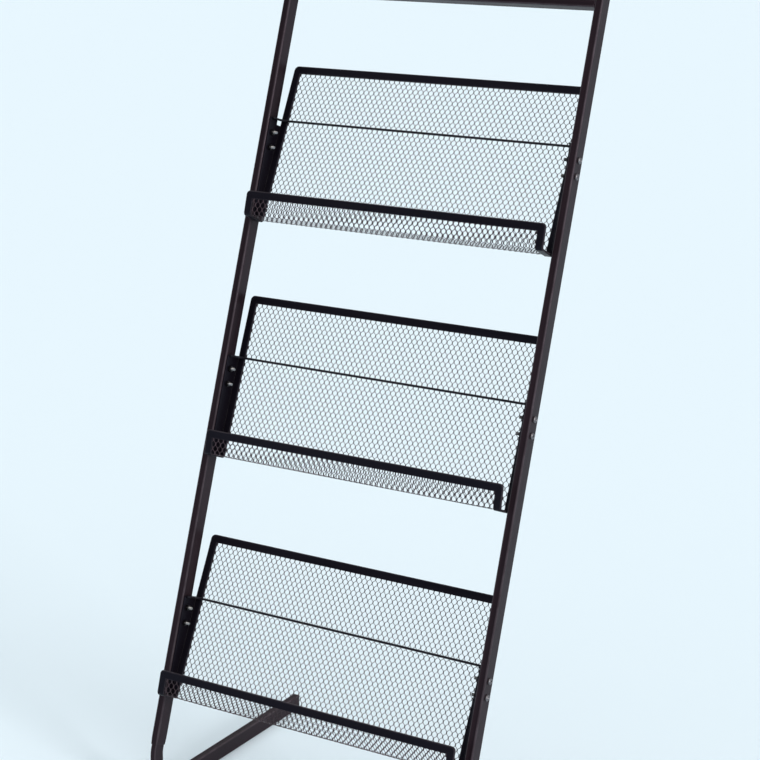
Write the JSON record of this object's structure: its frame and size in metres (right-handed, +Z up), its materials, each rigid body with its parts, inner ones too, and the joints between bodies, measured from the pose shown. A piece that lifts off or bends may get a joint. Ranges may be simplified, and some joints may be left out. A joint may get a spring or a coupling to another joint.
{
  "type": "periodical display rack",
  "caption": "Free-standing leaning rack of dark coated steel tube with open mesh trays, one above the other, that hold magazines and newspapers face out.",
  "frame": {"origin": "centre of the bounding box on the floor, midway between the feet", "axes": "+Z up, +X to the right as seen from the front, +Y to the back; the trays face -Y"},
  "size_m": [0.4554, 0.3772, 1.0404],
  "materials": {
    "coated_steel": "near-black powder coat, satin",
    "mesh_steel": "near-black powder coat on expanded sheet",
    "zinc_steel": "bright zinc plate",
    "plug_plastic": "moulded, matt"
  },
  "bodies": {
    "root": {"left_upright": "coated_steel", "right_upright": "coated_steel", "top_rail": "coated_steel", "left_foot_bar": "coated_steel", "right_foot_bar": "coated_steel", "left_foot_insert": "coated_steel", "right_foot_insert": "coated_steel", "left_upright_plug": "plug_plastic", "right_upright_plug": "plug_plastic", "left_foot_front_plug": "plug_plastic", "left_foot_rear_plug": "plug_plastic", "right_foot_front_plug": "plug_plastic", "right_foot_rear_plug": "plug_plastic", "lower_rim": "coated_steel", "lower_wire": "coated_steel", "lower_back_mesh": "mesh_steel", "lower_floor_mesh": "mesh_steel", "lower_lip_mesh": "mesh_steel", "lower_left_tab": "coated_steel", "lower_left_top_bolt": "zinc_steel", "lower_left_top_nut": "coated_steel", "lower_left_low_bolt": "zinc_steel", "lower_left_low_nut": "coated_steel", "lower_right_tab": "coated_steel", "lower_right_top_bolt": "zinc_steel", "lower_right_top_nut": "coated_steel", "lower_right_low_bolt": "zinc_steel", "lower_right_low_nut": "coated_steel", "middle_rim": "coated_steel", "middle_wire": "coated_steel", "middle_back_mesh": "mesh_steel", "middle_floor_mesh": "mesh_steel", "middle_lip_mesh": "mesh_steel", "middle_left_tab": "coated_steel", "middle_left_top_bolt": "zinc_steel", "middle_left_top_nut": "coated_steel", "middle_left_low_bolt": "zinc_steel", "middle_left_low_nut": "coated_steel", "middle_right_tab": "coated_steel", "middle_right_top_bolt": "zinc_steel", "middle_right_top_nut": "coated_steel", "middle_right_low_bolt": "zinc_steel", "middle_right_low_nut": "coated_steel", "upper_rim": "coated_steel", "upper_wire": "coated_steel", "upper_back_mesh": "mesh_steel", "upper_floor_mesh": "mesh_steel", "upper_lip_mesh": "mesh_steel", "upper_left_tab": "coated_steel", "upper_left_top_bolt": "zinc_steel", "upper_left_top_nut": "coated_steel", "upper_left_low_bolt": "zinc_steel", "upper_left_low_nut": "coated_steel", "upper_right_tab": "coated_steel", "upper_right_top_bolt": "zinc_steel", "upper_right_top_nut": "coated_steel", "upper_right_low_bolt": "zinc_steel", "upper_right_low_nut": "coated_steel"}
  },
  "joints": []
}
